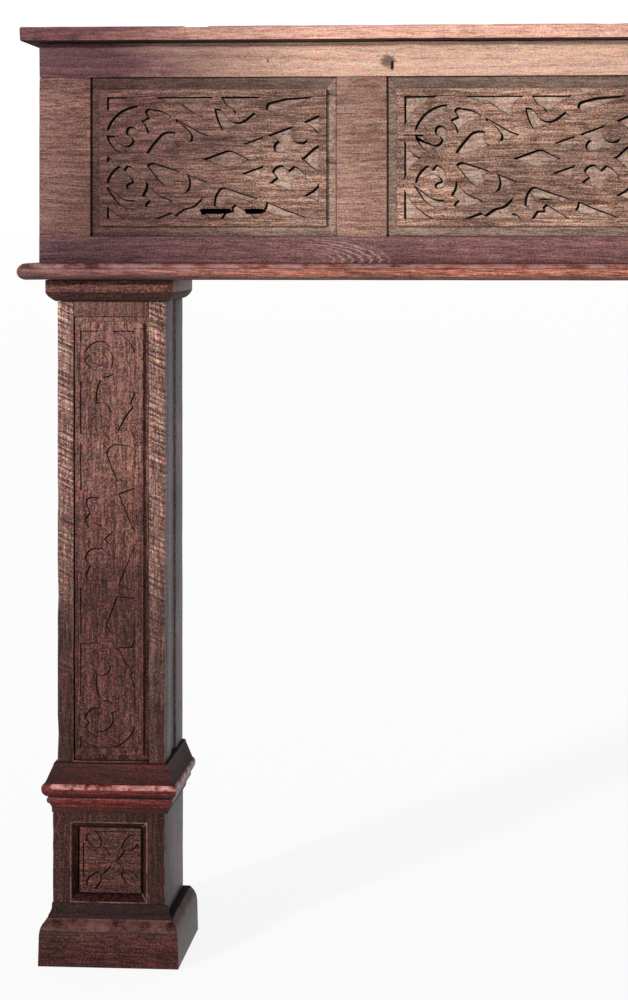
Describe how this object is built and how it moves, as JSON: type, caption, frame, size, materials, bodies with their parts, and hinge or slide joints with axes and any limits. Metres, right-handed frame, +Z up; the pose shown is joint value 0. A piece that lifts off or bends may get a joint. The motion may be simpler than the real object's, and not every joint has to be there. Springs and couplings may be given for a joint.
{
  "type": "fireplace mantel",
  "caption": "Carved wooden fireplace mantel: a shelf over a panelled frieze with pierced scrollwork, a rounded soffit board, and boxed legs with carved vines on moulded bases.",
  "frame": {"origin": "on the floor, under the middle of the mantel's overall length and depth", "axes": "+X along the shelf to the viewer's right, -Y out of the front, +Y towards the wall, +Z up"},
  "size_m": [1.8382, 0.2224, 1.3995],
  "materials": {
    "shelf_wood": "old mahogany with a worn, rubbed wax finish; bruised edges and nail holes",
    "frame_wood": "old mahogany with fine saw marks, checks and a worn wax finish",
    "panel_wood": "lighter, plain ground board, dirty in the corners of the fretwork",
    "fret_wood": "sawn fretwork with horizontal grain, dull wax, dark dirt along the cut edges",
    "leg_wood": "dark stained mahogany with slanting rough saw marks and worn edges",
    "leg_carving_wood": "dark stained carving with dirt in the pockets",
    "moulding_wood": "red mahogany mouldings with a soft wax sheen"
  },
  "bodies": {
    "root": {"shelf": "shelf_wood", "soffit_board": "moulding_wood", "frieze_top_rail": "frame_wood", "frieze_foot_rail": "frame_wood", "frieze_left_end_stile": "frame_wood", "frieze_left_inner_stile": "frame_wood", "frieze_right_inner_stile": "frame_wood", "frieze_right_end_stile": "frame_wood", "frieze_left_end": "frame_wood", "frieze_right_end": "frame_wood", "frieze_left_panel": "panel_wood", "frieze_centre_panel": "panel_wood", "frieze_right_panel": "panel_wood", "frieze_left_fretwork": "fret_wood", "frieze_centre_fretwork": "fret_wood", "frieze_right_fretwork": "fret_wood", "left_shaft_outer_stile": "leg_wood", "left_shaft_inner_stile": "leg_wood", "left_shaft_top_rail": "leg_wood", "left_shaft_foot_rail": "leg_wood", "left_shaft_panel": "leg_wood", "left_shaft_outer_side": "leg_wood", "left_shaft_inner_side": "leg_wood", "left_vine": "leg_carving_wood", "left_capital": "moulding_wood", "left_waist_moulding_front": "moulding_wood", "left_waist_moulding_outer_return": "moulding_wood", "left_waist_moulding_inner_return": "moulding_wood", "left_block_front": "leg_wood", "left_block_outer_side": "leg_wood", "left_block_inner_side": "leg_wood", "left_tile_ground": "leg_wood", "left_tile": "leg_carving_wood", "left_plinth_front": "leg_wood", "left_plinth_outer_return": "leg_wood", "left_plinth_inner_return": "leg_wood", "right_shaft_outer_stile": "leg_wood", "right_shaft_inner_stile": "leg_wood", "right_shaft_top_rail": "leg_wood", "right_shaft_foot_rail": "leg_wood", "right_shaft_panel": "leg_wood", "right_shaft_outer_side": "leg_wood", "right_shaft_inner_side": "leg_wood", "right_vine": "leg_carving_wood", "right_capital": "moulding_wood", "right_waist_moulding_front": "moulding_wood", "right_waist_moulding_outer_return": "moulding_wood", "right_waist_moulding_inner_return": "moulding_wood", "right_block_front": "leg_wood", "right_block_outer_side": "leg_wood", "right_block_inner_side": "leg_wood", "right_tile_ground": "leg_wood", "right_tile": "leg_carving_wood", "right_plinth_front": "leg_wood", "right_plinth_outer_return": "leg_wood", "right_plinth_inner_return": "leg_wood"}
  },
  "joints": []
}
